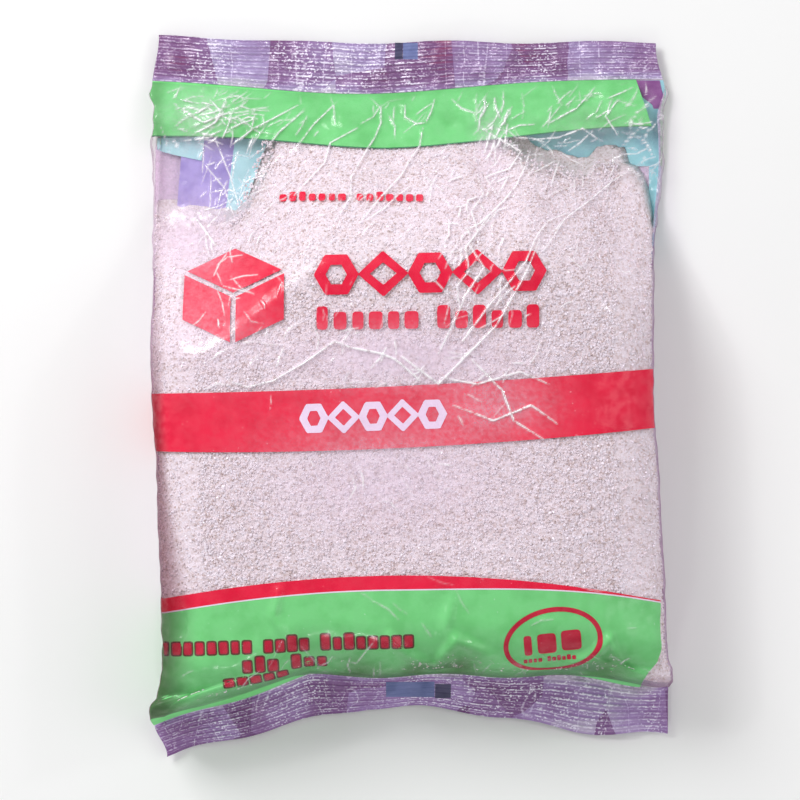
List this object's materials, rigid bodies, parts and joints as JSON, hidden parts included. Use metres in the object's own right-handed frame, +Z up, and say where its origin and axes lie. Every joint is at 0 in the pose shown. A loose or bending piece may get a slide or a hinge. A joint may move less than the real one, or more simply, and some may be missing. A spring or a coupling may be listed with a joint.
{
  "type": "sugar packet",
  "caption": "Filled clear film bag of granulated sugar with crimped seals at both ends, lying on its back with its front up.",
  "frame": {"origin": "centre of the bounding box in X and Y, on the surface that the bag lies on", "axes": "+X across the bag, to the right of its front; +Y up its front, towards the top seal; +Z up, out of its front"},
  "size_m": [0.1738, 0.2434, 0.0479],
  "materials": {
    "clear_film": "thin clear film, glossy and creased, with a faint mauve cast",
    "printed_film": "glossy film with green and red print",
    "seal_film": "crimped and ribbed layers of film, mauve and glossy",
    "sugar": "fine pale raw sugar crystals"
  },
  "bodies": {
    "root": {"sugar_bag": "clear_film"}
  },
  "joints": []
}
